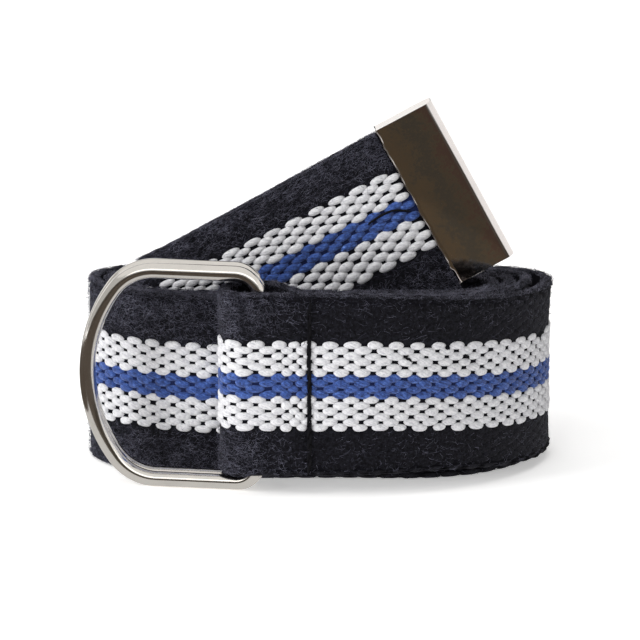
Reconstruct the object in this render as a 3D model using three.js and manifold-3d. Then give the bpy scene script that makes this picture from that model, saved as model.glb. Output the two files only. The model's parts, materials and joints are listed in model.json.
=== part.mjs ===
// Striped canvas web belt, coiled and standing on its edge, with two D-rings in a
// sewn loop at one end and a folded metal tip on the other. Millimetres, +Z up.
// X runs along the coil, Y away from the viewer, and the front of the coil is at low Y.
import * as THREE from 'three';
import Module from 'manifold-3d';

// Webbing
const BELT_WIDTH = 38;
const BELT_THICK = 2.3;
const SELVAGE = 1;            // chamfer that stands for the rounded woven edge
const LAYER_GAP = 0.3;        // air between two layers that lie on each other

// Coil, as the plan of the webbing's middle line
const TURNS = 4;
const COIL_LENGTH = 92.4;     // outer turn, from bend to bend
const COIL_OVERHANG = 27.1;   // how far the coil reaches beyond the fold, on the rings' side
const COIL_DEPTH = 27.1;      // second front layer to outer back layer
const END_PITCH = 3.4;        // how far each bend stays behind the next one out
const BEND_DEPTH = 0.58;      // share of the depth at which the outer bends reach furthest out
// length of a bend's front and back side, on the outer and on the innermost turn
const FRONT_SWEEP = 34;
const INNER_FRONT_SWEEP = 10;
const BACK_SWEEP = 13;
const INNER_BACK_SWEEP = 8;

// Sewn loop
const FOLD_NOSE = 4.6;        // length of the rounded fold
const FOLD_TO_BARS = 6.9;     // fold's middle line to the rings' bars
const BARS_TO_STITCH = 10.4;
const TAIL_PAST_STITCH = 5;

// D-rings
const WIRE = 3.2;
const RING_HEIGHT = 47;       // outside
const RING_REACH = 36.7;      // bar's axis to the bow's outside
const BOW_RADIUS = 30;        // middle of the wire, from here on
const BOW_CORNER = 10.5;
const BAR_CORNER = 4.6;
const RING_CLEARANCE = 0.3;   // between wire and wire, and wire and webbing
const RING_TURN = 9;          // degrees that the rings lie back towards the coil
const LOOP_PLAY = 0.5;        // spare depth behind the back ring, so that it can swing
const LOOP_HANG = 0.36;       // share of the rings' spare height that is below the webbing

// Free end and tip
const RISE_ANGLE = 28.7;      // degrees above the coil
const RISE_YAW = 4;           // degrees away from the front layers
const YAW_EASE = 14;          // run over which it turns away
const RISE_BEND = 48;         // radius at which the webbing turns upwards in its own plane
const RISE_BEFORE_BEND = 3.8; // where the rise starts, ahead of the innermost left bend
const TIP_INSET = 56.65;      // innermost left bend to the tip's mouth, along X
const TIP_LENGTH = 12.8;
const TIP_WIDTH = 36.6;
const TIP_THICK = 4.2;
const TIP_WALL = 0.6;
const TIP_FOLD = 1.6;         // radius of the folded edge
const TIP_PLAY = 0.3;
const TIP_RAISE = 1.35;       // how far it sits above the webbing's middle line
const TIP_SKEW = 0.8;         // degrees that it is turned against the webbing

// Segments of each curve
const STEPS = {
  loopClosing: 12, fold: 7, outerFront: 12, front: 9, back: 8, straight: 2, backStraight: 3,
  riseStart: 10, yaw: 4, freeEnd: 5, barCorner: 8, bowCorner: 9, bow: 22, wire: 18, tipFold: 6,
};
const TINY = 1e-6;

const PITCH = BELT_THICK + LAYER_GAP;
const radians = (degrees) => degrees * Math.PI / 180;
const mix = (a, b, share) => a + (b - a) * share;
const smooth = (share) => share * share * (3 - 2 * share);

// Plan of the loop: two wires side by side between the front layer and the tail
const wireStep = WIRE + RING_CLEARANCE;
const hollow = 2 * wireStep + RING_CLEARANCE + LOOP_PLAY;
const frontY = BELT_THICK / 2;
const tailY = frontY + BELT_THICK + hollow;
const sewnTailY = frontY + PITCH;
const foldX = 0;
const barX = foldX + FOLD_TO_BARS;
const stitchX = barX + BARS_TO_STITCH;
const tailEndX = stitchX + TAIL_PAST_STITCH;
const frontBarY = BELT_THICK + RING_CLEARANCE + WIRE / 2;
const backBarY = frontBarY + wireStep;

// Rings stand on the floor, and the webbing hangs in them clear of the wire above and below
const innerHeight = RING_HEIGHT - 2 * WIRE;
const loopLift = WIRE + LOOP_HANG * (innerHeight - BELT_WIDTH);

// Plan of the coil: bends at both ends, flat layers in front and at the back
const leftX = foldX - COIL_OVERHANG;
const rightX = leftX + COIL_LENGTH;
const secondFrontY = tailY + PITCH;
const outerBackY = secondFrontY + COIL_DEPTH;
const inward = (turn) => turn / (TURNS - 1);
const layers = {
  front: (turn) => secondFrontY + (turn - 1) * PITCH,
  back: (turn) => outerBackY - turn * PITCH,
  left: (turn) => leftX + turn * END_PITCH,
  right: (turn) => rightX - turn * END_PITCH,
};
const innerFrontY = layers.front(TURNS);
const innerBackY = layers.back(TURNS - 1);
// depth at which a bend reaches furthest out, and how long its two sides are
const outerBendY = mix(innerFrontY, outerBackY, BEND_DEPTH);
const bendY = (turn) => mix(outerBendY, (innerFrontY + innerBackY) / 2, inward(turn));
const frontSweep = (turn) => mix(FRONT_SWEEP, INNER_FRONT_SWEEP, inward(turn));
const backSweep = (turn) => mix(BACK_SWEEP, INNER_BACK_SWEEP, inward(turn));

class Plan {
  constructor() { this.points = []; }
  add(x, y) {
    const last = this.points.at(-1);
    if (!last || Math.hypot(x - last[0], y - last[1]) > TINY) this.points.push([x, y]);
  }
  line(x, y, steps = 1) {
    const [x0, y0] = this.points.at(-1);
    for (let i = 1; i <= steps; i++) this.add(mix(x0, x, i / steps), mix(y0, y, i / steps));
  }
  // quarter of an ellipse from the last point; it leaves along X or along Y
  quarter(x, y, leavesAlongX, steps) {
    const [x0, y0] = this.points.at(-1);
    for (let i = 1; i <= steps; i++) {
      const a = (i / steps) * Math.PI / 2;
      const [u, v] = leavesAlongX ? [Math.sin(a), 1 - Math.cos(a)] : [1 - Math.cos(a), Math.sin(a)];
      this.add(mix(x0, x, u), mix(y0, y, v));
    }
  }
  // S-shaped step that leaves and arrives along X
  step(x, y, steps) {
    const [x0, y0] = this.points.at(-1);
    for (let i = 1; i <= steps; i++) this.add(mix(x0, x, i / steps), mix(y0, y, smooth(i / steps)));
  }
}

function beltPlan() {
  const plan = new Plan();
  const marks = {};
  plan.add(tailEndX, sewnTailY);
  plan.line(stitchX, sewnTailY);
  plan.step(barX + WIRE / 2 + RING_CLEARANCE, tailY, STEPS.loopClosing);
  plan.line(foldX + FOLD_NOSE, tailY);
  plan.quarter(foldX, (tailY + frontY) / 2, true, STEPS.fold);
  plan.quarter(foldX + FOLD_NOSE, frontY, false, STEPS.fold);
  plan.line(tailEndX, frontY, STEPS.straight);
  marks.lower = plan.points.length - 1;
  for (let turn = 0; turn < TURNS; turn++) {
    if (turn > 0) plan.line(layers.right(turn) - frontSweep(turn), layers.front(turn), STEPS.straight);
    plan.quarter(layers.right(turn), bendY(turn), true, turn ? STEPS.front : STEPS.outerFront);
    if (turn === 0) marks.down = plan.points.length - 1;
    plan.quarter(layers.right(turn) - backSweep(turn), layers.back(turn), false, STEPS.back);
    plan.line(layers.left(turn) + backSweep(turn), layers.back(turn), STEPS.backStraight);
    plan.quarter(layers.left(turn), bendY(turn), true, STEPS.back);
    if (turn === TURNS - 1) break;
    plan.quarter(layers.left(turn) + frontSweep(turn), layers.front(turn + 1), false, STEPS.front);
  }
  marks.bend = plan.points.length - 1;
  plan.quarter(layers.left(TURNS - 1) + frontSweep(TURNS - 1), innerFrontY, false, STEPS.riseStart);
  // from here the free end runs straight, turned a little towards the back layers
  const [x, y] = plan.points.at(-1);
  const tipX = layers.left(TURNS - 1) + TIP_INSET;
  const yaw = Math.tan(radians(RISE_YAW));
  for (let i = 1; i <= STEPS.yaw; i++) {
    const share = i / STEPS.yaw;
    plan.add(x + YAW_EASE * share, y + yaw * YAW_EASE * share ** 2 / 2);
  }
  const [x1, y1] = plan.points.at(-1);
  plan.line(tipX, y1 + (tipX - x1) * yaw, STEPS.freeEnd);
  return { points: plan.points, marks };
}

// A wall that stands on the plan: a place on it is a run along the plan and a height
class Wall {
  constructor(points) {
    this.points = points;
    this.run = [0];
    for (let i = 1; i < points.length; i++) {
      const [dx, dy] = [points[i][0] - points[i - 1][0], points[i][1] - points[i - 1][1]];
      this.run.push(this.run[i - 1] + Math.hypot(dx, dy));
    }
    this.normals = points.map((_, i) => {
      const a = points[Math.max(i - 1, 0)], b = points[Math.min(i + 1, points.length - 1)];
      const length = Math.hypot(b[0] - a[0], b[1] - a[1]);
      return [(b[1] - a[1]) / length, -(b[0] - a[0]) / length];
    });
  }
  get length() { return this.run.at(-1); }
  // point at a run, moved outwards by some part of the thickness
  at(run, out) {
    const n = this.run.length;
    let i = 1;
    while (i < n - 1 && this.run[i] < run) i++;
    const share = (run - this.run[i - 1]) / (this.run[i] - this.run[i - 1]);
    const inside = Math.min(Math.max(share, 0), 1);
    const nx = mix(this.normals[i - 1][0], this.normals[i][0], inside);
    const ny = mix(this.normals[i - 1][1], this.normals[i][1], inside);
    const size = Math.hypot(nx, ny);
    return [
      mix(this.points[i - 1][0], this.points[i][0], share) + out * nx / size,
      mix(this.points[i - 1][1], this.points[i][1], share) + out * ny / size,
    ];
  }
}

const { points: planPoints, marks } = beltPlan();
const wall = new Wall(planPoints);

// Height of the webbing's middle line, and the angle at which it climbs
const slope = radians(RISE_ANGLE);
const riseCorner = wall.run[marks.bend] - RISE_BEFORE_BEND;
const riseReach = RISE_BEND * Math.tan(slope / 2);
function climb(run) {
  const middle = BELT_WIDTH / 2;
  const from = wall.run[marks.lower], to = wall.run[marks.down];
  if (run <= from) return { height: middle + loopLift, angle: 0 };
  if (run < to) {
    const share = (run - from) / (to - from);
    const fall = -loopLift * 6 * share * (1 - share) / (to - from);
    return { height: middle + loopLift * (1 - smooth(share)), angle: Math.atan(fall) };
  }
  const along = run - (riseCorner - riseReach);
  if (along <= 0) return { height: middle, angle: 0 };
  const angle = Math.asin(Math.min(along / RISE_BEND, Math.sin(slope)));
  const height = middle + RISE_BEND * (1 - Math.cos(angle));
  return { height: height + Math.max(along - RISE_BEND * Math.sin(slope), 0) * Math.tan(slope), angle };
}

// Sections of the webbing, as pairs of thickness and width
const tipTongue = TIP_LENGTH - TIP_WALL - TIP_FOLD - TIP_PLAY;
const tongueWidth = TIP_WIDTH - 2 * (TIP_WALL + TIP_PLAY);
const ACROSS = [-1, -0.5, 0, 0.5, 1];
function webSection(width) {
  const half = BELT_THICK / 2, w = width / 2 - SELVAGE;
  const face = ACROSS.map((share) => [half, share * w]);
  const back = ACROSS.map((share) => [-half, -share * w]);
  return [...face, [half - SELVAGE, width / 2], [SELVAGE - half, width / 2],
    ...back, [SELVAGE - half, -width / 2], [half - SELVAGE, -width / 2]];
}

function loft(rings, closed = false) {
  const size = rings[0].length, position = rings.flat(2), index = [];
  const count = closed ? rings.length : rings.length - 1;
  for (let r = 0; r < count; r++) {
    const a = r * size, b = ((r + 1) % rings.length) * size;
    for (let i = 0; i < size; i++) {
      const j = (i + 1) % size;
      index.push(a + i, b + i, b + j, a + i, b + j, a + j);
    }
  }
  if (!closed) {
    for (let i = 1; i < size - 1; i++) {
      index.push(0, i, i + 1);
      const last = (rings.length - 1) * size;
      index.push(last, last + i + 1, last + i);
    }
  }
  const geometry = new THREE.BufferGeometry();
  geometry.setAttribute('position', new THREE.Float32BufferAttribute(position, 3));
  geometry.setIndex(index);
  return geometry;
}

// Place of the tip: its own axes run along the webbing, through it and across it
function tipPlace() {
  const [x, y] = wall.at(wall.length, 0), [nx, ny] = wall.normals.at(-1);
  const { height, angle } = climb(wall.length);
  const tilt = angle - radians(TIP_SKEW);
  const along = new THREE.Vector3(-ny * Math.cos(tilt), nx * Math.cos(tilt), Math.sin(tilt));
  const across = new THREE.Vector3(ny * Math.sin(tilt), -nx * Math.sin(tilt), Math.cos(tilt));
  const through = new THREE.Vector3().crossVectors(across, along);
  const centre = new THREE.Vector3(x, y, height).addScaledVector(across, TIP_RAISE);
  return new THREE.Matrix4().makeBasis(along, through, across).setPosition(centre);
}

function makeWebbing() {
  // full width up to the tip's mouth, and a narrower tongue in its pocket
  const runs = [...wall.run.slice(0, -1), wall.length - TIP_PLAY - 2 * SELVAGE];
  const sections = runs.map((run) => {
    const { height, angle } = climb(run);
    return webSection(BELT_WIDTH).map(([out, across]) => {
      const [x, y] = wall.at(run - across * Math.sin(angle), out);
      return [x, y, height + across * Math.cos(angle)];
    });
  });
  const place = tipPlace();
  for (const along of [-TIP_PLAY, tipTongue]) {
    sections.push(webSection(tongueWidth).map(([out, across]) => (
      new THREE.Vector3(along, -out, across).applyMatrix4(place).toArray())));
  }
  return loft(sections);
}

// Middle line of a D-ring in its own plane: reach from the bar, and height
function ringLine() {
  const r = WIRE / 2, half = RING_HEIGHT / 2 - r, reach = RING_REACH - r;
  const curve = [];
  const arc = (cx, cy, radius, from, to, steps) => {
    for (let i = 0; i <= steps; i++) {
      const a = radians(mix(from, to, i / steps));
      curve.push([cx + radius * Math.cos(a), cy + radius * Math.sin(a)]);
    }
  };
  const bowX = reach - BOW_RADIUS;
  // the bow and a flat side are joined by a corner that touches both
  const cornerY = half - BOW_CORNER;
  const cornerX = bowX + Math.sqrt((BOW_RADIUS - BOW_CORNER) ** 2 - cornerY ** 2);
  const meet = Math.atan2(cornerY, cornerX - bowX) * 180 / Math.PI;
  arc(BAR_CORNER, -half + BAR_CORNER, BAR_CORNER, 180, 270, STEPS.barCorner);
  arc(cornerX, -cornerY, BOW_CORNER, -90, -meet, STEPS.bowCorner);
  arc(bowX, 0, BOW_RADIUS, -meet, meet, STEPS.bow);
  arc(cornerX, cornerY, BOW_CORNER, meet, 90, STEPS.bowCorner);
  arc(BAR_CORNER, half - BAR_CORNER, BAR_CORNER, 90, 180, STEPS.barCorner);
  return curve.filter(([x, y], i) => {
    const [px, py] = curve[(i || curve.length) - 1];
    return Math.hypot(x - px, y - py) > TINY;
  });
}

function makeRing(barY) {
  const line = ringLine(), n = line.length, turn = radians(RING_TURN);
  const rings = line.map(([reach, height], i) => {
    const a = line[(i + n - 1) % n], b = line[(i + 1) % n];
    const length = Math.hypot(b[0] - a[0], b[1] - a[1]);
    const out = [(b[1] - a[1]) / length, -(b[0] - a[0]) / length];
    const ring = [];
    for (let k = 0; k < STEPS.wire; k++) {
      const angle = (k + 0.5) / STEPS.wire * 2 * Math.PI;
      const side = Math.cos(angle) * WIRE / 2, deep = Math.sin(angle) * WIRE / 2;
      const far = reach + out[0] * side;
      ring.push([
        barX - far * Math.cos(turn) + deep * Math.sin(turn),
        barY + far * Math.sin(turn) + deep * Math.cos(turn),
        RING_HEIGHT / 2 + height + out[1] * side,
      ]);
    }
    return ring;
  });
  return loft(rings, true);
}

// Tip: sheet folded round the end of the webbing, closed at both edges
async function makeTip() {
  const wasm = await Module();
  wasm.setup();
  const { CrossSection } = wasm;
  // outline of the folded sheet, from its open edge to its two rounded corners
  const folded = (length, thick, radius) => {
    const half = thick / 2, outline = [[0, half], [0, -half]];
    for (const side of [-1, 1]) {
      for (let i = 0; i <= STEPS.tipFold; i++) {
        const a = Math.PI / 2 * (side < 0 ? i / STEPS.tipFold - 1 : i / STEPS.tipFold);
        const flat = side * (half - radius);
        outline.push([length - radius + radius * Math.cos(a), flat + radius * Math.sin(a)]);
      }
    }
    return new CrossSection([outline]);
  };
  // the pocket is cut a wall's thickness past the open edge
  const pocket = folded(TIP_LENGTH, TIP_THICK - 2 * TIP_WALL, TIP_FOLD - TIP_WALL)
    .translate([-TIP_WALL, 0]).extrude(TIP_WIDTH - 2 * TIP_WALL);
  const solid = folded(TIP_LENGTH, TIP_THICK, TIP_FOLD).extrude(TIP_WIDTH)
    .subtract(pocket.translate([0, 0, TIP_WALL]))
    .translate([0, 0, -TIP_WIDTH / 2]);
  const mesh = solid.getMesh();
  const geometry = new THREE.BufferGeometry();
  geometry.setAttribute('position', new THREE.BufferAttribute(Float32Array.from(mesh.vertProperties), 3));
  geometry.setIndex(Array.from(mesh.triVerts));
  return geometry.applyMatrix4(tipPlace());
}

function piece(name, geometry, colour, roughness, metalness) {
  geometry.computeVertexNormals();
  const material = new THREE.MeshStandardMaterial({ color: colour, roughness, metalness, flatShading: true });
  const mesh = new THREE.Mesh(geometry, material);
  mesh.name = name;
  return mesh;
}

const belt = new THREE.Group();
belt.name = 'web_belt';
belt.add(
  piece('webbing', makeWebbing(), 0x23232f, 0.95, 0),
  piece('front_ring', makeRing(frontBarY), 0xd9d4cc, 0.18, 1),
  piece('back_ring', makeRing(backBarY), 0xd9d4cc, 0.18, 1),
  piece('tip', await makeTip(), 0x8c8172, 0.15, 1),
);

// The part's origin is the middle of its footprint, on the floor
const box = new THREE.Box3().setFromObject(belt);
const centre = box.getCenter(new THREE.Vector3());
for (const mesh of belt.children) mesh.geometry.translate(-centre.x, -centre.y, -box.min.z);

export default belt;
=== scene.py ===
"""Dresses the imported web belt: woven yarns, fuzz and stitches on the webbing, polished
rings and tip. Lengths are in millimetres until a mesh is made, and then in metres."""
import json
import math

import bpy
import numpy as np
from mathutils import Matrix, Vector


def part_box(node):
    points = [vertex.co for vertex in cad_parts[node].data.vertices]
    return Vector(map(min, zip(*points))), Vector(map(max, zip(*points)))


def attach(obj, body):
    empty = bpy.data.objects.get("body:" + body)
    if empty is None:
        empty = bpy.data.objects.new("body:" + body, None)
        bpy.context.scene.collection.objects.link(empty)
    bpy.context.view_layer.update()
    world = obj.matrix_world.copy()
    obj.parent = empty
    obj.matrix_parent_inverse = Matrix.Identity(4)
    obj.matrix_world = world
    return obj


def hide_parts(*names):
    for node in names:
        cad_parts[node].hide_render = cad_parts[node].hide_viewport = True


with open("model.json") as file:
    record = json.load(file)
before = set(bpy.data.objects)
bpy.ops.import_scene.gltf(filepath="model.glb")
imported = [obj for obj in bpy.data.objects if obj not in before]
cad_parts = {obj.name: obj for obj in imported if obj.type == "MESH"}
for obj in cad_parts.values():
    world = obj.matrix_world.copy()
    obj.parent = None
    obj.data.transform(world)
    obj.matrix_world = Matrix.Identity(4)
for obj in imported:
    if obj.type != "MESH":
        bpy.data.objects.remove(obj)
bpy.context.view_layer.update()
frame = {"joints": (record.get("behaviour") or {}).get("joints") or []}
MM = 0.001
rng = np.random.default_rng(4501)

# Webbing and coil, as in the part's source
BELT_WIDTH, BELT_THICK, LAYER_GAP = 38.0, 2.3, 0.3
TURNS, COIL_LENGTH, COIL_OVERHANG, COIL_DEPTH, END_PITCH = 4, 92.4, 27.1, 27.1, 3.4
FOLD_NOSE, FOLD_TO_BARS, BARS_TO_STITCH, TAIL_PAST_STITCH = 4.6, 6.9, 10.4, 5.0
WIRE, RING_HEIGHT, RING_REACH, RING_TURN = 3.2, 47.0, 36.7, 9.0
BOW_RADIUS, BOW_CORNER, BAR_CORNER = 30.0, 10.5, 4.6
RING_CLEARANCE, LOOP_PLAY, LOOP_HANG = 0.3, 0.5, 0.36
RISE_ANGLE, RISE_YAW, RISE_BEND, RISE_BEFORE_BEND = 28.7, 4.0, 48.0, 3.8
TIP_INSET, TIP_LENGTH, TIP_WIDTH, TIP_THICK, TIP_WALL, TIP_FOLD = 56.65, 12.8, 36.6, 4.2, 0.6, 1.6
TIP_RAISE, TIP_SKEW = 1.35, 0.8

PITCH = BELT_THICK + LAYER_GAP
WIRE_STEP = WIRE + RING_CLEARANCE
FRONT_Y = BELT_THICK / 2
TAIL_Y = FRONT_Y + BELT_THICK + 2 * WIRE_STEP + RING_CLEARANCE + LOOP_PLAY
BAR_X = FOLD_TO_BARS
STITCH_X = BAR_X + BARS_TO_STITCH
TAIL_END_X = STITCH_X + TAIL_PAST_STITCH
LOOP_LIFT = WIRE + LOOP_HANG * (RING_HEIGHT - 2 * WIRE - BELT_WIDTH)
LEFT_X, RIGHT_X = -COIL_OVERHANG, COIL_LENGTH - COIL_OVERHANG
SECOND_FRONT_Y = TAIL_Y + PITCH
OUTER_BACK_Y = SECOND_FRONT_Y + COIL_DEPTH
INNER_FRONT_Y = SECOND_FRONT_Y + (TURNS - 1) * PITCH
INNER_BACK_Y = OUTER_BACK_Y - (TURNS - 1) * PITCH

# Weave: yarns lie in rows along the webbing, each row half a float further on
ROW = 1.15
FLOAT_PITCH = 4.2
WHITE_ROWS, BLUE_ROWS, NAVY_ROWS = 6, 4, 9
FLOAT_SIZE = 3.3, 1.68, 0.62            # length, width and height of a white or blue float
NAVY_FLOAT_SIZE = 4.2, 1.9, 0.22
GROUND = BELT_THICK / 2 - 0.3           # half the thickness of the ground between the floats
GROUND_INSET = 0.25                     # from the selvage to the ground's edge
STRIPE_RISE_LOW, STRIPE_RISE_TIP = 5.0, 1.7     # how far the stripes climb on the free end
HAIR_POINTS = 4
STITCH_RADIUS, STITCH_PITCH, STITCH_REACH, STITCH_APART = 0.29, 2.5, 3.2, 0.34

web_lo, web_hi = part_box("webbing")
SHIFT = np.array([web_hi.x / MM - (RIGHT_X + BELT_THICK / 2), web_lo.y / MM, 0.0])


def mix(a, b, t):
    return a + (b - a) * t


# The webbing's route
class Plan:
    """Plan of the webbing's middle line, as a fine row of points."""

    def __init__(self, x, y):
        self.points = [(x, y)]

    def line(self, x, y, steps=8):
        x0, y0 = self.points[-1]
        self.points += [(mix(x0, x, t), mix(y0, y, t)) for t in np.linspace(0, 1, steps + 1)[1:]]

    def quarter(self, x, y, along_x, steps=48):
        x0, y0 = self.points[-1]
        for a in np.linspace(0, math.pi / 2, steps + 1)[1:]:
            u, v = (math.sin(a), 1 - math.cos(a)) if along_x else (1 - math.cos(a), math.sin(a))
            self.points.append((mix(x0, x, u), mix(y0, y, v)))

    def step(self, x, y, steps=36):
        x0, y0 = self.points[-1]
        for t in np.linspace(0, 1, steps + 1)[1:]:
            self.points.append((mix(x0, x, t), mix(y0, y, t * t * (3 - 2 * t))))


def belt_plan():
    marks = {}
    inward = lambda turn: turn / (TURNS - 1)
    outer_bend_y = mix(INNER_FRONT_Y, OUTER_BACK_Y, 0.58)
    inner_bend_y = (INNER_FRONT_Y + INNER_BACK_Y) / 2
    bend_y = lambda turn: mix(outer_bend_y, inner_bend_y, inward(turn))
    front_y = lambda turn: SECOND_FRONT_Y + (turn - 1) * PITCH
    back_y = lambda turn: OUTER_BACK_Y - turn * PITCH
    front_sweep = lambda turn: mix(34, 10, inward(turn))
    back_sweep = lambda turn: mix(13, 8, inward(turn))
    plan = Plan(TAIL_END_X, FRONT_Y + PITCH)
    plan.line(STITCH_X, FRONT_Y + PITCH)
    marks["tail_stitch"] = len(plan.points) - 1
    plan.step(BAR_X + WIRE / 2 + RING_CLEARANCE, TAIL_Y)
    plan.line(FOLD_NOSE, TAIL_Y)
    plan.quarter(0, (TAIL_Y + FRONT_Y) / 2, True)
    plan.quarter(FOLD_NOSE, FRONT_Y, False)
    marks["front"] = len(plan.points) - 1
    plan.line(STITCH_X, FRONT_Y)
    marks["stitch"] = len(plan.points) - 1
    plan.line(TAIL_END_X, FRONT_Y)
    marks["lower"] = len(plan.points) - 1
    for turn in range(TURNS):
        left, right = LEFT_X + turn * END_PITCH, RIGHT_X - turn * END_PITCH
        if turn:
            plan.line(right - front_sweep(turn), front_y(turn))
        plan.quarter(right, bend_y(turn), True)
        marks[f"right{turn}"] = len(plan.points) - 1
        plan.quarter(right - back_sweep(turn), back_y(turn), False)
        plan.line(left + back_sweep(turn), back_y(turn))
        plan.quarter(left, bend_y(turn), True)
        marks[f"left{turn}"] = len(plan.points) - 1
        if turn < TURNS - 1:
            plan.quarter(left + front_sweep(turn), front_y(turn + 1), False)
            marks[f"front{turn + 1}"] = len(plan.points) - 1
    plan.quarter(left + front_sweep(TURNS - 1), INNER_FRONT_Y, False)
    x, y = plan.points[-1]
    yaw, ease = math.tan(math.radians(RISE_YAW)), 14
    for t in np.linspace(0, 1, 17)[1:]:
        plan.points.append((x + ease * t, y + yaw * ease * t * t / 2))
    x, y = plan.points[-1]
    tip_x = left + TIP_INSET
    plan.line(tip_x, y + (tip_x - x) * yaw)
    return np.array(plan.points), marks


class Wall:
    """A wall standing on the plan. The webbing is a flat strip bent round it."""

    def __init__(self):
        self.xy, self.marks = belt_plan()
        steps = np.hypot(*np.diff(self.xy, axis=0).T)
        self.run = np.concatenate([[0], np.cumsum(steps)])
        tangent = np.gradient(self.xy, self.run, axis=0)
        tangent /= np.linalg.norm(tangent, axis=1, keepdims=True)
        self.normal = np.stack([tangent[:, 1], -tangent[:, 0]], 1)
        self.length = self.run[-1]
        self.slope = math.radians(RISE_ANGLE)
        self.rise = self.mark("left3") - RISE_BEFORE_BEND - RISE_BEND * math.tan(self.slope / 2)

    def mark(self, name):
        return self.run[self.marks[name]]

    def climb(self, run):
        """Height of the middle line and its climb, as angles."""
        run = np.asarray(run, float)
        low, down = self.mark("lower"), self.mark("right0")
        t = np.clip((run - low) / (down - low), 0, 1)
        height = BELT_WIDTH / 2 + LOOP_LIFT * (1 - t * t * (3 - 2 * t))
        angle = np.arctan(-LOOP_LIFT * 6 * t * (1 - t) / (down - low))
        along = np.maximum(run - self.rise, 0)
        up = np.arcsin(np.minimum(along / RISE_BEND, math.sin(self.slope)))
        height = height + RISE_BEND * (1 - np.cos(up))
        height += np.maximum(along - RISE_BEND * math.sin(self.slope), 0) * math.tan(self.slope)
        return height, angle + up

    def place(self, run, across, out):
        """Points of the strip: run along it, distance across it, distance out of its middle."""
        height, angle = self.climb(run)
        on_plan = run - across * np.sin(angle)
        inside = np.clip(on_plan, 0, self.length)
        x, y, nx, ny = (np.interp(inside, self.run, c) for c in (*self.xy.T, *self.normal.T))
        over = on_plan - inside
        x, y = x - ny * over + nx * out, y + nx * over + ny * out
        return np.stack([x, y, height + across * np.cos(angle)], -1) + SHIFT


wall = Wall()


# Meshes
def new_mesh(name, verts, faces, smooth=True, uv=None, body="belt"):
    verts, faces = np.asarray(verts, np.float64), np.asarray(faces, np.int32)
    mesh = bpy.data.meshes.new(name)
    sides = faces.shape[1]
    mesh.vertices.add(len(verts))
    mesh.vertices.foreach_set("co", (verts * MM).ravel())
    mesh.loops.add(faces.size)
    mesh.loops.foreach_set("vertex_index", faces.ravel())
    mesh.polygons.add(len(faces))
    mesh.polygons.foreach_set("loop_start", np.arange(0, faces.size, sides, dtype=np.int32))
    mesh.polygons.foreach_set("use_smooth", np.full(len(faces), smooth))
    if uv is not None:
        layer = mesh.uv_layers.new(name="yarn")
        layer.data.foreach_set("uv", uv[faces.ravel()].ravel().astype(np.float32))
    mesh.update(calc_edges=True)
    mesh.validate()
    piece = bpy.data.objects.new(name, mesh)
    bpy.context.scene.collection.objects.link(piece)
    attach(piece, body)
    return piece


def grid_faces(rows, columns, wrap=False):
    """Quads of a grid, with its last column joined to the first where it wraps."""
    r = np.arange(rows - 1)[:, None] * columns
    c = np.arange(columns if wrap else columns - 1)[None, :]
    d = (c + 1) % columns
    return np.stack([r + c, r + d, r + columns + d, r + columns + c], -1).reshape(-1, 4)


def wave(run, across):
    """Low waves of a strip that has been worn, the same for every layer of detail."""
    edge = np.abs(across) / (BELT_WIDTH / 2)
    flare = np.exp(-((run - wall.mark("right0")) / 16) ** 2)
    flare = flare * np.where(across > 0, 0.9, 0.5) * edge ** 2
    return 0.16 * np.sin(run / 9.1 + 0.8) + 0.12 * np.sin(run / 5.3 + across / 6) * edge + flare


def pinch(run):
    """How far the sewing pulls the surface in."""
    front, tail = wall.mark("stitch"), wall.mark("tail_stitch")
    return 0.42 * (np.exp(-((run - front) / 0.9) ** 2) + np.exp(-((run - tail) / 0.9) ** 2))


# Ground of the weave
def make_ground():
    half = GROUND
    round_steps, flat_steps = 7, 24
    flat = BELT_WIDTH / 2 - half - GROUND_INSET
    arc = np.linspace(0, math.pi, round_steps + 2)[1:-1]
    section = [(half, w) for w in np.linspace(-flat, flat, flat_steps)]
    section += [(half * math.cos(a), flat + half * math.sin(a)) for a in arc]
    section += [(-half, w) for w in np.linspace(flat, -flat, flat_steps)]
    section += [(-half * math.cos(a), -flat - half * math.sin(a)) for a in arc]
    section = np.array(section)
    near_tip = wall.length + np.array([0.1, 0.5, 3, 6])
    runs = np.append(np.arange(0.4, wall.length - 0.3, 1.15), near_tip)
    in_tip = runs > wall.length + 0.3
    side = np.sign(section[:, 0]) * np.minimum(np.abs(section[:, 0]) / half, 1)
    run = np.repeat(runs[:, None], len(section), 1)
    room = TIP_WIDTH / 2 - TIP_WALL - GROUND_INSET
    trimmed = np.clip(section[:, 1], TIP_RAISE - room, TIP_RAISE + room)
    across = np.where(in_tip[:, None], trimmed[None, :], section[None, :, 1])
    out = section[None, :, 0] + wave(run, across) * (runs < wall.length - 3)[:, None]
    out = out - side[None, :] * pinch(run)
    verts = wall.place(run, drift(run, across), out).reshape(-1, 3)
    columns = len(section)
    faces = grid_faces(len(runs), columns, wrap=True)
    ends = []
    for base, flip in ((0, False), ((len(runs) - 1) * columns, True)):
        for i in range(1, columns // 2):
            quad = [base + i - 1, base + i, base + columns - 1 - i, base + (columns - i) % columns]
            ends.append(quad[::-1] if flip else quad)
    share = section[None, :, 1] / BELT_WIDTH + 0.5 + 0 * run
    uv = np.stack([run / BELT_WIDTH, share], -1).reshape(-1, 2)
    return new_mesh("web_ground", verts, np.concatenate([faces, np.array(ends)]), uv=uv)


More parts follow.
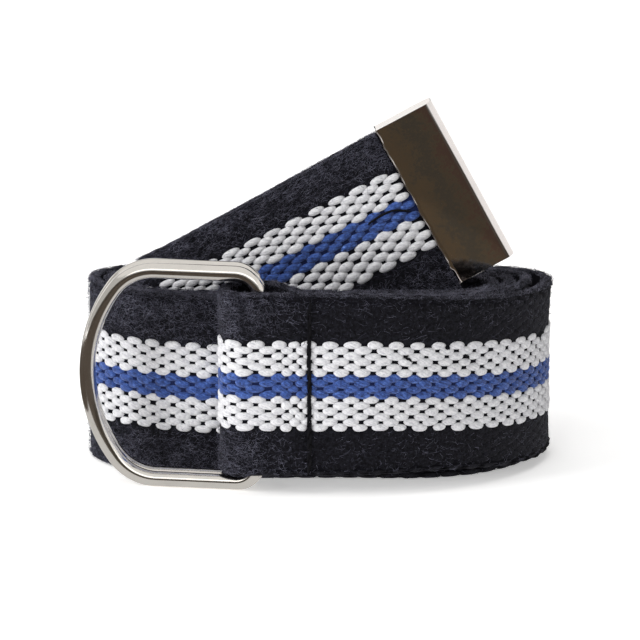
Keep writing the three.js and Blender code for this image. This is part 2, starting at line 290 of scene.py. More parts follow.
# Yarn floats
def make_floats(name, spots, length, width, height, fine=(9, 6)):
    """Domes of yarn. Columns of spots: run, distance across, side, lean at the edge, size."""
    lengthwise, round_it = fine
    t = np.sin(np.linspace(-1, 1, lengthwise) * math.pi / 2)[None, :, None]
    a = np.linspace(0, math.pi, round_it)[None, None, :]
    run0, across0, side, edge, size = (spots[:, i][:, None, None] for i in range(5))
    n = len(spots)
    tilt, plump = rng.normal(0, 0.035, (n, 1, 1)), rng.normal(1, 0.06, (n, 1, 1))
    skew, taper = rng.normal(0, 0.12, (n, 1, 1)), rng.normal(0, 0.10, (n, 1, 1))
    half = (1 - np.abs(t) ** 3.2 * 0.97) ** 0.55 * (1 + taper * t)
    dive = 1 - 0.9 * np.abs(t) ** 4
    along = t * length / 2 * size + 0 * a
    beside = -np.cos(a) * width / 2 * half * plump + tilt * along + skew * (1 - t * t) * 0.3
    rise = height * (0.75 * np.sin(a) ** 0.85 * (0.35 + 0.65 * half) + 0.6 * dive - 0.45) * plump
    # on the rounded selvage a float leans out over the edge
    flat = BELT_WIDTH / 2 - GROUND - GROUND_INSET
    base_across = np.where(edge != 0, np.sign(across0) * flat + GROUND * np.sin(edge), across0)
    across = base_across + beside * np.cos(edge) + rise * np.sin(edge)
    lift = GROUND * np.cos(edge) + rise * np.cos(edge) - beside * np.sin(edge)
    run = run0 + along
    out = side * (lift - pinch(run)) + wave(run, across) * (run < wall.length - 3)
    verts = wall.place(run, drift(run, across), out).reshape(-1, 3)
    quads = grid_faces(lengthwise, round_it)
    faces = (quads[None] + (np.arange(n) * lengthwise * round_it)[:, None, None]).reshape(-1, 4)
    turned = np.repeat(spots[:, 2] > 0, len(quads))
    faces[turned] = faces[turned][:, ::-1]
    u = run / FLOAT_PITCH
    v = 1.7 * across0 + a / math.pi + 0.3 * t + 0 * beside
    uv = np.stack([u, v], -1).reshape(-1, 2)
    return new_mesh(name, verts, faces, uv=uv)


def drift(run, across):
    """Where the stripes wander: up on the rising end, and in from the edges at the right end."""
    start, bend = wall.mark("left3"), wall.mark("right0")
    share = np.clip((wall.length - run) / (wall.length - start), 0, 1)
    edge = across / (BELT_WIDTH / 2)
    t = np.clip((run - wall.mark("lower")) / 32, 0, 1) * np.clip((bend + 40 - run) / 30, 0, 1)
    curl = t * t * (3 - 2 * t) * np.where(edge < 0, 1.6, -0.6)
    shift = np.where(run > start - 20, mix(STRIPE_RISE_TIP, STRIPE_RISE_LOW, share), 0)
    return across + shift * (1 - edge ** 2) + curl * edge ** 2


def stretch(run):
    """Floats are long round the fold and short where the layers are sewn together."""
    fold, stitch = wall.mark("front"), wall.mark("stitch")
    loose = 0.12 * np.exp(-((run - fold - 4) / 5) ** 2)
    tight = 0.34 * np.exp(-((run - stitch + 3.6) / 3.2) ** 4)
    return 1 + loose - tight


FINE_RUN = np.arange(0, wall.length + 12, 0.1)
PHASE = np.cumsum(0.1 / (FLOAT_PITCH * stretch(FINE_RUN)))


def float_runs(start, end, shift):
    """Places of the floats of one row: whole steps of a phase that is the same for all rows."""
    first, last = np.interp([start, end], FINE_RUN, PHASE)
    return np.interp(np.arange(math.ceil(first - shift), last - shift) + shift, PHASE, FINE_RUN)


def shown_spans():
    """Stretches of each face that can be seen: (start, end, side)."""
    end = wall.length + 0.8
    return [
        (1.5, wall.mark("left0"), 1),                          # tail, fold and outer turn
        (wall.mark("left0"), wall.mark("right1"), 1),          # second turn, through the rings
        (wall.mark("left3") - 14, end, 1),                     # free end
        (1.5, wall.mark("right0"), -1),                        # inside of the loop and outer layer
        (wall.mark("right2"), end, -1),                        # the coil's hollow and the free end
    ]


def rows_of(colour):
    """Rows of a colour: number, distance across and lean at the selvage."""
    middle = WHITE_ROWS + BLUE_ROWS / 2
    rows = np.arange(2 * WHITE_ROWS + BLUE_ROWS)
    across = (middle - 0.5 - rows) * ROW
    blue = (rows >= WHITE_ROWS) & (rows < WHITE_ROWS + BLUE_ROWS)
    if colour == "blue":
        return [(r, w, 0.0) for r, w in zip(rows[blue], across[blue])]
    if colour == "white":
        return [(r, w, 0.0) for r, w in zip(rows[~blue], across[~blue])]
    found = []
    for k in range(NAVY_ROWS):
        w = (middle + k + 0.5) * ROW
        lean = math.radians(38 * max(k - NAVY_ROWS + 3, 0))
        found += [(-1 - k, w, lean), (len(rows) + k, -w, -lean)]
    return found


def spots_for(colour, drop=0.0):
    spots = []
    for start, end, side in shown_spans():
        for row, across, edge in rows_of(colour):
            run = float_runs(start, end, 0.5 * (row % 2))
            run = run[rng.random(len(run)) >= drop]
            n = len(run)
            size = stretch(run) * rng.normal(1, 0.05, n)
            place = across + rng.normal(0, 0.035, n)
            run = run + rng.normal(0, 0.10, n)
            # rows below the tip end at its mouth
            beyond = across < TIP_RAISE - TIP_WIDTH / 2 + 2 * TIP_WALL
            kept = run < wall.length - (2.2 if beyond else 0)
            run, place, size, n = run[kept], place[kept], size[kept], kept.sum()
            spots.append(np.stack([run, place, np.full(n, side), np.full(n, edge), size], 1))
    return np.concatenate(spots)


# Fuzz of the navy wool
def hair_strips(name, run, across, out, size, thick, bend, flat_on_edge=False):
    """Hairs as narrow strips that wander over the face or along an edge. Bend is their rise."""
    count, steps = len(run), bend.shape[1]
    t = np.linspace(0, 1, steps)[None, :]
    heading = rng.uniform(0, 2 * math.pi, count)[:, None] + rng.normal(0, 1.3, count)[:, None] * t
    d_run = np.cumsum(np.cos(heading), 1) / steps * size[:, None]
    d_side = np.cumsum(np.sin(heading), 1) / steps * size[:, None] * 0.8
    path_run = np.maximum(run[:, None] + d_run, 0.5)
    path_run = wall.length - np.abs(wall.length - path_run)
    if flat_on_edge:
        path_out = np.clip(out[:, None] + d_side * 0.6, -1.3, 1.3)
        path_across = across[:, None] + bend - 0.25 * path_out ** 2
        path_out = path_out + wave(path_run, path_across)
    else:
        side = np.sign(out)[:, None]
        path_across = across[:, None] + d_side
        over = np.maximum(np.abs(path_across) - (BELT_WIDTH / 2 - 0.6), 0)
        path_across = np.clip(path_across, -BELT_WIDTH / 2 - 0.35, BELT_WIDTH / 2 + 0.35)
        height = np.maximum(np.abs(out)[:, None] + bend - over * 0.9, 0)
        path_out = side * height + wave(path_run, path_across)
    middle = wall.place(path_run, drift(path_run, path_across), path_out)
    aside_run, aside = path_run - 0.1 * np.sin(heading), 0.1 * np.cos(heading)
    beside = (path_across, path_out + aside) if flat_on_edge else (path_across + aside, path_out)
    offset = wall.place(aside_run, drift(aside_run, beside[0]), beside[1]) - middle
    offset /= np.maximum(np.linalg.norm(offset, axis=-1, keepdims=True), 1e-9)
    offset *= (thick * (0.5 - 0.38 * t))[..., None]
    verts = np.stack([middle - offset, middle + offset], 2).reshape(-1, 3)
    strip = grid_faces(steps, 2)
    faces = (strip[None] + (np.arange(count) * steps * 2)[:, None, None]).reshape(-1, 4)
    return new_mesh(name, verts, faces)


def hair_rise(count, lift):
    """How far each hair stands off at its points."""
    t = np.linspace(0, 1, HAIR_POINTS)[None, :]
    return lift * (0.1 + rng.random(count)[:, None] ** 2) * np.sin(t * math.pi * 0.85)


def make_fuzz(name, count, length, thick, lift, even):
    """Hairs over the navy bands. A share of them lies evenly, the rest where it is worn and, as
    painted light, where the key light from the left falls.
    """
    spans = shown_spans()
    weights = np.array([end - start for start, end, _ in spans])
    pick = rng.choice(len(spans), count, p=weights / weights.sum())
    start, end, side = (np.array([s[i] for s in spans])[pick] for i in range(3))
    run = start + (end - start) * rng.random(count)
    # wear raises more fuzz round the fold, on the second turn and on the free end; the pale hairs
    # gathered on the left-facing fold and second turn are also painted light from the key light on
    # the left
    fold, second, rise = wall.mark("front"), wall.mark("left0"), wall.mark("left3")
    wear_and_key_light = np.exp(-((run - fold + 2) / 7) ** 2) + np.exp(-((run - second - 18) / 24) ** 2)
    wear_and_key_light = wear_and_key_light + 0.8 * (run > rise)
    shown = rng.random(count) < even + (1 - even) * 0.9 * wear_and_key_light
    run, side, count = run[shown], side[shown], shown.sum()
    inner = (WHITE_ROWS + BLUE_ROWS / 2) * ROW
    width = BELT_WIDTH / 2 - 0.3 - inner
    across = (inner + width * rng.random(count) ** 0.7) * rng.choice([-1, 1], count)
    bend = hair_rise(count, lift)
    size = rng.gamma(3, length / 3, count)
    return hair_strips(name, run, across, side * BELT_THICK / 2, size, thick, bend)


def make_edge_fuzz(name, count, length, thick, lift):
    """Nap on the upper selvage of every turn."""
    run = wall.length * rng.random(count)
    across = BELT_WIDTH / 2 - 0.1 + rng.normal(0, 0.08, count)
    out = rng.uniform(-1.1, 1.1, count)
    bend = hair_rise(count, lift)
    size = rng.gamma(3, length / 3, count)
    return hair_strips(name, run, across, out, size, thick, bend, flat_on_edge=True)


# Sewing across the loop
def tube_pieces(name, paths, radius, sides=6):
    """Short threads: each path is a row of points, thinner at its ends."""
    verts, faces, base = [], [], 0
    for path in paths:
        path = np.asarray(path)
        tangent = np.gradient(path, axis=0)
        tangent /= np.linalg.norm(tangent, axis=1, keepdims=True)
        helper = np.where(np.abs(tangent[:, 2:3]) > 0.9, [[1.0, 0, 0]], [[0, 0, 1.0]])
        one = np.cross(tangent, helper)
        one /= np.linalg.norm(one, axis=1, keepdims=True)
        two = np.cross(tangent, one)
        t = np.linspace(-1, 1, len(path))
        thick = radius * np.sqrt(np.maximum(1 - np.abs(t) ** 6, 0.04))
        ring = [path + thick[:, None] * (math.cos(a) * one + math.sin(a) * two)
                for a in np.arange(sides) * 2 * math.pi / sides]
        verts.append(np.stack(ring, 1).reshape(-1, 3))
        faces.append(grid_faces(len(path), sides, wrap=True) + base)
        base += len(verts[-1])
    return new_mesh(name, np.concatenate(verts), np.concatenate(faces))


def make_stitches():
    """Two threads side by side, on the front of the loop and on its tail."""
    paths = []
    t = np.linspace(-1, 1, 9)
    for mark in ("stitch", "tail_stitch"):
        for row, aside in enumerate((-STITCH_APART / 2, STITCH_APART / 2)):
            for w in np.arange(-17.2 + row * STITCH_PITCH / 2, 17.4, STITCH_PITCH):
                run = wall.mark(mark) + aside + 0.1 * t + rng.normal(0, 0.04)
                out = GROUND + 0.08 + 0.3 * (1 - np.abs(t) ** 3) - 0.35 * np.abs(t) ** 8
                paths.append(wall.place(run, w + t * STITCH_REACH / 2, out))
    return tube_pieces("loop_stitches", paths, STITCH_RADIUS)


def make_slubs():
    """Dark knots on the white rows of the front, and a pulled thread on the free end."""
    paths = []
    lift = GROUND + 0.42
    knots = ((19.3, 6.0, 1.6, 1.2), (27.3, 8.2, 1.0, 0.4), (31.8, 6.4, 1.3, 1.0))
    for past_stitch, across, reach, lean in knots:
        t = np.linspace(-0.5, 0.5, 6)
        run = wall.mark("stitch") + past_stitch + reach * t
        place = across - lean * t + 0.15 * np.sin(9 * t)
        out = lift + wave(run, place) + 0.12 * np.cos(7 * t)
        paths.append(wall.place(run, drift(run, place), out))
    before_tip, height = [-9.5, -8.1, -4.0, -1.2], [2.8, 3.4, 3.3, 1.0]
    run = np.linspace(before_tip[0], before_tip[-1], 22)
    place = np.interp(run, before_tip, height)
    place = np.convolve(np.pad(place, 2, "edge"), np.ones(5) / 5, "valid")
    run = run + wall.length
    paths.append(wall.place(run, place, lift + 0.1 * np.sin(run * 2) + wave(run, place)))
    return tube_pieces("dark_slubs", paths, 0.26)


# Metal
def ring_line():
    r = WIRE / 2
    half, reach = RING_HEIGHT / 2 - r, RING_REACH - r
    bow_x, corner_y = reach - BOW_RADIUS, half - BOW_CORNER
    corner_x = bow_x + math.sqrt((BOW_RADIUS - BOW_CORNER) ** 2 - corner_y ** 2)
    meet = math.degrees(math.atan2(corner_y, corner_x - bow_x))
    points = []

    def arc(cx, cy, radius, start, end, steps):
        for a in np.radians(np.linspace(start, end, steps)):
            points.append((cx + radius * math.cos(a), cy + radius * math.sin(a)))

    def straight(steps, to):
        x0, y0 = points[-1]
        for t in np.linspace(0, 1, steps)[1:-1]:
            points.append((mix(x0, to[0], t), mix(y0, to[1], t)))

    arc(BAR_CORNER, -half + BAR_CORNER, BAR_CORNER, 180, 270, 18)
    straight(12, (corner_x, -half))
    arc(corner_x, -corner_y, BOW_CORNER, 270, 360 - meet, 22)
    arc(bow_x, 0, BOW_RADIUS, -meet, meet, 48)
    arc(corner_x, corner_y, BOW_CORNER, meet, 90, 22)
    straight(12, (BAR_CORNER, half))
    arc(BAR_CORNER, half - BAR_CORNER, BAR_CORNER, 90, 180, 18)
    straight(20, (0, -half + BAR_CORNER))
    line = np.array(points)
    return line[np.hypot(*(line - np.roll(line, 1, 0)).T) > 1e-6]


def make_ring(node, body, joint):
    """The wire again, round and fine, where its CAD node stands."""
    bar = Vector(next(j for j in frame["joints"] if j["name"] == joint)["pos_m"]) / MM
    line, sides = ring_line(), 36
    tangent = np.roll(line, -1, 0) - np.roll(line, 1, 0)
    tangent /= np.linalg.norm(tangent, axis=1, keepdims=True)
    out = np.stack([tangent[:, 1], -tangent[:, 0]], 1)
    a = np.arange(sides) * 2 * math.pi / sides
    side, deep = np.cos(a) * WIRE / 2, np.sin(a) * WIRE / 2
    far = line[:, 0:1] + out[:, 0:1] * side
    turn = math.radians(RING_TURN)
    verts = np.stack([
        bar.x - far * math.cos(turn) + deep * math.sin(turn),
        bar.y + far * math.sin(turn) + deep * math.cos(turn),
        RING_HEIGHT / 2 + line[:, 1:2] + out[:, 1:2] * side + 0 * deep], -1)
    verts = np.concatenate([verts, verts[:1]]).reshape(-1, 3)
    faces = grid_faces(len(line) + 1, sides, wrap=True) % (len(line) * sides)
    ring = new_mesh(node + "_wire", verts[:-sides], faces, body=body)
    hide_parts(node)
    return ring


def tip_place(along, through, across):
    """Point of the tip: along the webbing from its mouth, through it, and across it."""
    height, angle = wall.climb(wall.length)
    tilt = angle - math.radians(TIP_SKEW)
    x, y = wall.xy[-1]
    nx, ny = wall.normal[-1]
    across = across + TIP_RAISE
    flat = np.cos(tilt) * along - np.sin(tilt) * across
    up = np.sin(tilt) * along + np.cos(tilt) * across
    x, y = x - ny * flat + nx * through, y + nx * flat + ny * through
    return np.stack([x, y, height + up], -1) + SHIFT


def make_tip():
    """Sheet folded over the end: front, rounded nose and back as one strip, and two end walls."""
    half, wall_t = TIP_THICK / 2, TIP_WALL
    columns = np.linspace(-TIP_WIDTH / 2, TIP_WIDTH / 2, 61)
    lip_reach = 0.3

    def profile(inset):
        radius, flat = TIP_FOLD - inset, half - TIP_FOLD
        straight = TIP_LENGTH - TIP_FOLD
        steps = (0, lip_reach / 2, lip_reach, *np.linspace(0.9, straight, 11)[:-1])
        upper = [(x, half - inset) for x in steps]
        upper += [(straight + radius * math.sin(a), flat + radius * math.cos(a))
                  for a in np.linspace(0, math.pi / 2, 12)]
        return np.array(upper + [(x, -y) for x, y in upper[::-1]])

    outer, inner = profile(0), profile(wall_t)
    # the cut edge of the sheet isn't straight: a tooth near the top, a step near the bottom
    share = columns / (TIP_WIDTH / 2)
    cut = 0.10 * np.sin(columns * 0.9) + 0.05 * np.sin(columns * 2.3 + 1)
    cut = cut + 0.55 * (share < -0.80) - 0.35 * np.exp(-((share - 0.78) / 0.03) ** 2)
    lip = 0.15 * (0.8 + 0.2 * np.sin(columns * 1.3))[None, :]
    verts = []
    for line in (outer, inner[::-1]):
        x = np.repeat(line[:, 0][:, None], len(columns), 1)
        near_mouth = np.clip(1 - x / 1.2, 0, 1)
        x = x + near_mouth * cut[None, :]
        y = np.repeat(line[:, 1][:, None], len(columns), 1)
        dent = 0.05 * np.sin(x * 0.5 + columns[None, :] * 0.21) * np.sign(y)
        dent += lip * np.clip(1 - line[:, 0][:, None] / lip_reach, 0, 1) * np.sign(y)
        on_face = np.abs(y) > half - wall_t - 0.01
        across = np.repeat(columns[None, :], len(x), 0)
        verts.append(tip_place(x, y + dent * on_face, across))
    verts = np.concatenate(verts)
    rows = len(verts)
    flat = verts.reshape(-1, 3)
    faces = grid_faces(rows, len(columns))
    last = (rows - 1) * len(columns)
    c = np.arange(len(columns) - 1)
    closing = np.stack([last + c, last + c + 1, c + 1, c], -1)
    depth = np.concatenate([outer[:, 0], inner[::-1, 0]]) / TIP_LENGTH
    uv = np.stack([np.repeat(depth, len(columns)), np.tile(share, rows)], 1)
    sheet = new_mesh("tip_sheet", flat, np.concatenate([faces, closing])[:, ::-1], uv=uv)
    walls = [end_wall(sign, half, wall_t) for sign in (-1, 1)]
    for piece in (sheet, *walls):
        bevel = piece.modifiers.new("edge", "BEVEL")
        bevel.width, bevel.segments = 0.12 * MM, 2
        bevel.limit_method, bevel.angle_limit = "ANGLE", math.radians(50)
    at_fold = np.minimum(depth[1:], depth[:-1]) > 1 - TIP_FOLD / TIP_LENGTH - 0.01
    at_lip = np.maximum(depth[1:], depth[:-1]) < (lip_reach + 0.01) / TIP_LENGTH
    bright = np.repeat(at_fold | at_lip, len(columns) - 1)
    bright = np.concatenate([bright, np.zeros(len(closing), bool)])
    sheet.data.polygons.foreach_set("material_index", bright.astype(np.int32))
    apply_modifiers(sheet, *walls)
    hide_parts("tip")
    return [sheet, *walls]


def end_wall(sign, half, wall_t):
    """Plate that closes one edge of the tip, with the outline of the fold."""
    inset, start = 0.06, 0.15
    radius, flat, straight = TIP_FOLD - inset, half - TIP_FOLD, TIP_LENGTH - TIP_FOLD
    upper = [(start, half - inset)]
    upper += [(straight + radius * math.sin(a), flat + radius * math.cos(a))
              for a in np.linspace(0, math.pi / 2, 9)]
    outline = np.array([(x, -y) for x, y in upper] + upper[::-1])
    low, high = TIP_WIDTH / 2 - wall_t, TIP_WIDTH / 2 + 0.02
    n = len(outline)
    layers = [tip_place(outline[:, 0], outline[:, 1], np.full(n, sign * w)) for w in (low, high)]
    verts = np.concatenate(layers)
    faces = [[i, (i + 1) % n, n + (i + 1) % n, n + i] for i in range(n)]
    for base, flip in ((0, sign > 0), (n, sign < 0)):
        for i in range(n // 2 - 1):
            quad = [base + i, base + i + 1, base + n - 2 - i, base + n - 1 - i]
            faces.append(quad[::-1] if flip else quad)
    name = "tip_end_upper" if sign > 0 else "tip_end_lower"
    return new_mesh(name, verts, np.array(faces), smooth=False)


def apply_modifiers(*pieces):
    bpy.context.view_layer.update()
    graph = bpy.context.evaluated_depsgraph_get()
    for piece in pieces:
        done = bpy.data.meshes.new_from_object(piece.evaluated_get(graph))
        piece.modifiers.clear()
        piece.data = done


# Materials
class Shader:
    """A principled material with short helpers for its nodes."""

    def __init__(self, name, colour, roughness, metallic=0.0):
        self.material = bpy.data.materials.new(name)
        self.material.use_nodes = True
        self.nodes = self.material.node_tree.nodes
        self.links = self.material.node_tree.links
        self.main = self.nodes["Principled BSDF"]
        self.main.inputs["Base Color"].default_value = (*colour, 1)
        self.main.inputs["Roughness"].default_value = roughness
        self.main.inputs["Metallic"].default_value = metallic

    def add(self, kind, **values):
        node = self.nodes.new(kind)
        for key, value in values.items():
            if key in node.inputs:
                node.inputs[key].default_value = value
            else:
                setattr(node, key, value)
        return node

    def coords(self, which="Object", scale=(1, 1, 1)):
        place = self.add("ShaderNodeTexCoord")
        mapping = self.add("ShaderNodeMapping")
        mapping.inputs["Scale"].default_value = scale
        self.links.new(place.outputs[which], mapping.inputs["Vector"])
        return mapping.outputs["Vector"]

    def noise(self, vector, scale, detail=4.0, rough=0.6):
        node = self.add("ShaderNodeTexNoise", Scale=scale, Detail=detail, Roughness=rough)
        self.links.new(vector, node.inputs["Vector"])
        return node.outputs["Fac"]

    def ramp(self, value, stops):
        node = self.add("ShaderNodeValToRGB")
        elements = node.color_ramp.elements
        while len(elements) < len(stops):
            elements.new(0.5)
        for element, (at, colour) in zip(elements, stops):
            element.position, element.color = at, (*colour, 1)
        self.links.new(value, node.inputs["Fac"])
        return node.outputs["Color"]

    def to(self, output, socket):
        self.links.new(output, self.main.inputs[socket])

    def bump(self, height, strength, distance):
        node = self.add("ShaderNodeBump", Strength=strength, Distance=distance)
        self.links.new(height, node.inputs["Height"])
        self.to(node.outputs["Normal"], "Normal")


def yarn_material(name, dark, light, bright, fibre_bump):
    s = Shader(name, light, 0.9)
    fibres = s.noise(s.coords("UV", scale=(1.6, 3.0, 1)), 2.2, 6, 0.75)
    tone = s.add("ShaderNodeMath", operation="MULTIPLY_ADD")
    s.links.new(s.noise(s.coords(), 1500, 4, 0.7), tone.inputs[0])
    tone.inputs[1].default_value = 0.5
    s.links.new(fibres, tone.inputs[2])
    s.to(s.ramp(tone.outputs[0], [(0.60, dark), (0.80, light), (0.95, bright)]), "Base Color")
    s.bump(fibres, fibre_bump, 0.00016)
    s.main.inputs["Sheen Weight"].default_value = 0.2
    s.main.inputs["Sheen Roughness"].default_value = 0.6
    s.main.inputs["Specular IOR Level"].default_value = 0.25
    return s.material


def wool_material(name, dark, light, size=1800, sheen=0.3):
    s = Shader(name, dark, 0.95)
    vector = s.coords()
    tone = s.noise(vector, size, 6, 0.75)
    s.to(s.ramp(tone, [(0.40, dark), (0.66, light)]), "Base Color")
    s.bump(s.noise(vector, size * 1.2, 5, 0.7), 0.7, 0.0003)
    s.main.inputs["Sheen Weight"].default_value = sheen
    s.main.inputs["Sheen Roughness"].default_value = 0.5
    s.main.inputs["Sheen Tint"].default_value = (0.55, 0.55, 0.68, 1)
    s.main.inputs["Specular IOR Level"].default_value = 0.15
    return s.material


def ground_material():
    """Dark ground, deep blue under the blue rows."""
    navy, blue = (0.004, 0.004, 0.007), (0.012, 0.020, 0.075)
    s = Shader("navy_ground", navy, 0.95)
    parts = s.add("ShaderNodeSeparateXYZ")
    s.links.new(s.coords("UV"), parts.inputs["Vector"])
    reach = BLUE_ROWS / 2 * ROW / BELT_WIDTH
    stops = [(0.49 - reach, navy), (0.5 - reach, blue), (0.5 + reach, blue), (0.51 + reach, navy)]
    s.to(s.ramp(parts.outputs["Y"], stops), "Base Color")
    s.bump(s.noise(s.coords(), 2100, 5, 0.7), 0.7, 0.0003)
    s.main.inputs["Specular IOR Level"].default_value = 0.15
    return s.material


def thread_material():
    s = Shader("sewing_thread", (0.004, 0.004, 0.006), 0.8)
    s.main.inputs["Specular IOR Level"].default_value = 0.2
    return s.material


def tip_material():
    """Brassy nickel with a painted reflection in its colour: brown near the mouth, grey in the
    middle, red at the fold, in soft clouds, standing in for what the sheet mirrors.
    """
    s = Shader("nickel_sheet", (0.7, 0.62, 0.5), 0.08, 1.0)
    # painted reflection: low clouds of tint that copy the mottled room mirrored in the face
    painted_reflection_clouds = s.noise(s.coords(), 230, 9, 0.78)
    parts = s.add("ShaderNodeSeparateXYZ")
    s.links.new(s.coords("UV", scale=(0.3, 1, 1)), parts.inputs["Vector"])
    mixed = s.add("ShaderNodeMath", operation="MULTIPLY_ADD")
    s.links.new(painted_reflection_clouds, mixed.inputs[0])
    mixed.inputs[1].default_value = 0.42
    s.links.new(parts.outputs["X"], mixed.inputs[2])
    grain = s.add("ShaderNodeMath", operation="MULTIPLY_ADD")
    s.links.new(s.noise(s.coords(), 1500, 4, 0.7), grain.inputs[0])
    grain.inputs[1].default_value = 0.3
    s.links.new(mixed.outputs[0], grain.inputs[2])
    # painted reflection: the brown, olive, grey and red tints along the sheet stand in for
    # mirrored surroundings
    brown, olive = (0.92, 0.78, 0.58), (0.85, 0.76, 0.60)
    grey, red = (0.62, 0.64, 0.60), (0.80, 0.60, 0.54)
    stops = [(0.38, brown), (0.44, olive), (0.50, grey), (0.58, olive), (0.61, red)]
    s.to(s.ramp(grain.outputs[0], stops), "Base Color")
    s.bump(s.noise(s.coords(), 240, 3), 0.04, 0.0001)
    return s.material


def metal_material(name, colour, roughness, wear):
    s = Shader(name, colour, roughness, 1.0)
    vector = s.coords()
    stain = s.noise(vector, 160, 5, 0.6)
    s.to(s.ramp(stain, [(0.3, tuple(c * wear for c in colour)), (0.55, colour)]), "Base Color")
    haze = s.noise(vector, 700, 4, 0.7)
    node = s.add("ShaderNodeMapRange")
    node.inputs["To Min"].default_value = roughness
    node.inputs["To Max"].default_value = roughness + 0.12
    s.links.new(haze, node.inputs["Value"])
    s.to(node.outputs["Result"], "Roughness")
    s.bump(s.noise(vector, 260, 3), 0.04, 0.0001)
    return s.material


def finish_pieces():
    whites = (0.50, 0.50, 0.54), (0.77, 0.77, 0.79), (0.88, 0.88, 0.89)
    blues = (0.005, 0.014, 0.07), (0.036, 0.094, 0.36), (0.14, 0.26, 0.66)
    white = yarn_material("white_cotton", *whites, 0.9)
    blue = yarn_material("blue_cotton", *blues, 1.0)
    navy = wool_material("navy_wool", (0.001, 0.001, 0.002), (0.013, 0.013, 0.019), sheen=0.08)
    ground = ground_material()
    fuzz = wool_material("navy_nap", (0.005, 0.005, 0.009), (0.105, 0.105, 0.145), 400)
    edge = wool_material("edge_nap", (0.015, 0.015, 0.022), (0.17, 0.17, 0.22), 400)
    hair = wool_material("navy_hair", (0.04, 0.04, 0.055), (0.20, 0.20, 0.26), 300)
    thread = thread_material()
    nickel = metal_material("nickel_wire", (0.83, 0.80, 0.76), 0.07, 0.93)
    tip, rim = tip_material(), metal_material("nickel_rim", (0.88, 0.84, 0.83), 0.06, 0.95)

    ground_piece = make_ground()
    ground_piece.data.materials.append(ground)
    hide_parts("webbing")
    dressed = [
        (make_floats("white_yarns", spots_for("white", 0.004), *FLOAT_SIZE), white),
        (make_floats("blue_yarns", spots_for("blue"), *FLOAT_SIZE), blue),
        (make_floats("navy_yarns", spots_for("navy"), *NAVY_FLOAT_SIZE, (6, 4)), navy),
        (make_fuzz("navy_nap", 80000, 1.2, 0.10, 0.3, 0.15), fuzz),
        (make_fuzz("navy_hairs", 90000, 1.5, 0.055, 0.8, 0.03), hair),
        (make_edge_fuzz("edge_nap", 33000, 1.4, 0.12, 0.5), edge),
        (make_stitches(), thread),
        (make_slubs(), thread),
    ]
    for piece, material in dressed:
        piece.data.materials.append(material)
    for node, body, joint in (
        ("front_ring", "front_ring_body", "front_ring_swing"),
        ("back_ring", "back_ring_body", "back_ring_swing"),
    ):
        make_ring(node, body, joint).data.materials.append(nickel)
    sheet, *walls = make_tip()
    for material in (tip, rim):
        sheet.data.materials.append(material)
    for piece in walls:
        piece.data.materials.append(rim)


# Studio
def card(name, size, place, material, tilt=(0, 0, 0)):
    x, y = size[0] / 2, size[1] / 2
    mesh = bpy.data.meshes.new(name)
    mesh.from_pydata([(-x, -y, 0), (x, -y, 0), (x, y, 0), (-x, y, 0)], [], [(0, 1, 2, 3)])
    piece = bpy.data.objects.new(name, mesh)
    bpy.context.scene.collection.objects.link(piece)
    piece.location, piece.rotation_euler = place, tilt
    mesh.materials.append(material)
    return piece


def hang(name, lamp, place, target):
    """Puts up a light that the metal doesn't mirror."""
    piece = bpy.data.objects.new(name, lamp)
    bpy.context.scene.collection.objects.link(piece)
    piece.location = place
    piece.rotation_euler = (Vector(target) - Vector(place)).to_track_quat("-Z", "Y").to_euler()
    piece.visible_glossy = False


def light(name, size, power, place):
    lamp = bpy.data.lights.new(name, "AREA")
    lamp.shape, lamp.size, lamp.size_y, lamp.energy = "RECTANGLE", size[0], size[1], power
    hang(name, lamp, place, (0, 0, 0.03))


def narrow_light(name, power, place, target, angle):
    """Soft round light on a small field."""
    lamp = bpy.data.lights.new(name, "SPOT")
    lamp.energy, lamp.shadow_soft_size = power, 0.06
    lamp.spot_size, lamp.spot_blend = math.radians(angle), 1.0
    hang(name, lamp, place, target)


# Where the origin falls in the 640-pixel frame, and pixels per metre there
ORIGIN_U, ORIGIN_V, PIXELS_PER_M = 315.5, 467.8, 4870.0
CAMERA_ELEVATION, CAMERA_DISTANCE, FRAME_PIXELS = 15.0, 1.5, 640


def make_camera():
    lens = bpy.data.cameras.new("camera")
    lens.sensor_width = 36
    lens.lens = 36 * PIXELS_PER_M * CAMERA_DISTANCE / FRAME_PIXELS
    camera = bpy.data.objects.new("camera", lens)
    bpy.context.scene.collection.objects.link(camera)
    bpy.context.scene.camera = camera
    elevation = math.radians(CAMERA_ELEVATION)
    back = Vector((0, -math.cos(elevation), math.sin(elevation)))
    up = Vector((0, math.sin(elevation), math.cos(elevation)))
    right = Vector((1, 0, 0))
    middle = FRAME_PIXELS / 2
    target = right * (middle - ORIGIN_U) / PIXELS_PER_M + up * (ORIGIN_V - middle) / PIXELS_PER_M
    camera.location = target + back * CAMERA_DISTANCE
    camera.rotation_euler = Matrix((right, up, back)).transposed().to_euler()


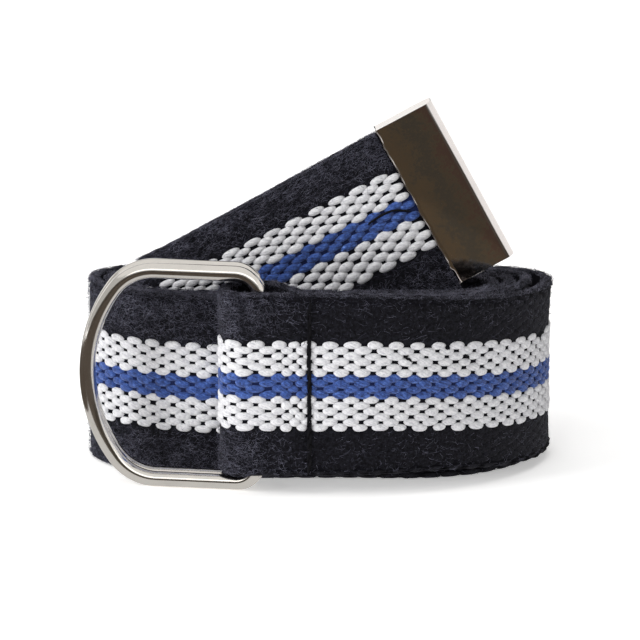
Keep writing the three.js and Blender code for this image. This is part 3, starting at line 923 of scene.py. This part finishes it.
def dark_surroundings():
    """Dark table and room beyond the white sheet, seen only as reflections in the metal."""
    dark = Shader("dark_table", (0.056, 0.041, 0.029), 0.9)
    parts = [
        card("table_front", (1.6, 0.55), (0, -0.33, 0.001), dark.material),
        card("table_left", (0.5, 0.2), (-0.325, 0.03, 0.001), dark.material),
        card("room_front", (1.6, 0.07), (0, -0.2, 0.036), dark.material, (math.pi / 2, 0, 0)),
    ]
    for part in parts:
        part.visible_camera = part.visible_diffuse = part.visible_shadow = False


def panel(name, size, place, tilt, glow):
    """White wall or ceiling of the studio, seen only as a reflection in the metal."""
    s = Shader(name, (0, 0, 0), 1.0)
    s.main.inputs["Specular IOR Level"].default_value = 0
    s.main.inputs["Emission Color"].default_value = (1, 0.985, 0.96, 1)
    s.main.inputs["Emission Strength"].default_value = glow
    piece = card(name, size, place, s.material, tilt)
    piece.visible_camera = piece.visible_diffuse = piece.visible_shadow = False


def make_studio():
    floor = Shader("floor", (0.95, 0.945, 0.94), 0.85)
    floor.main.inputs["Specular IOR Level"].default_value = 0.1
    floor.main.inputs["Emission Color"].default_value = (1, 1, 1, 1)
    floor.main.inputs["Emission Strength"].default_value = 0.4
    card("floor", (6, 6), (0, 0, 0), floor.material)
    dark_surroundings()
    upright = math.pi / 2
    panel("ceiling", (4, 4), (0, 0, 1.3), (0, 0, 0), 0.8)
    panel("wall_back", (4, 0.62), (0, 2, 0.31), (upright, 0, 0), 1.04)
    panel("wall_left", (4, 1.3), (-2, 0, 0.65), (upright, 0, upright), 0.5)
    panel("wall_right", (4, 1.3), (2, 0, 0.65), (upright, 0, upright), 0.9)
    panel("window", (1.7, 0.45), (0, -0.85, 0.6), (upright, 0, 0), 1.6)
    panel("sheet", (1.2, 1.2), (0, 0, 0.0004), (0, 0, 0), 0.62)
    light("top", (0.9, 0.9), 3.0, (0.0, 0.15, 0.95))
    light("softbox", (0.5, 0.9), 2.7, (-0.25, -0.75, 0.75))
    light("key", (0.5, 0.8), 9.0, (-1.0, -0.35, 0.45))
    narrow_light("rise", 7.0, (-0.15, -0.6, 0.45), (0.0, 0.01, 0.066), 7.5)
    world = bpy.data.worlds.new("studio")
    bpy.context.scene.world = world
    world.use_nodes = True
    background = world.node_tree.nodes["Background"]
    background.inputs["Color"].default_value = (1.0, 0.985, 0.96, 1)
    background.inputs["Strength"].default_value = 0.25
    bpy.context.scene.view_settings.view_transform = "Standard"


make_camera()
finish_pieces()
make_studio()
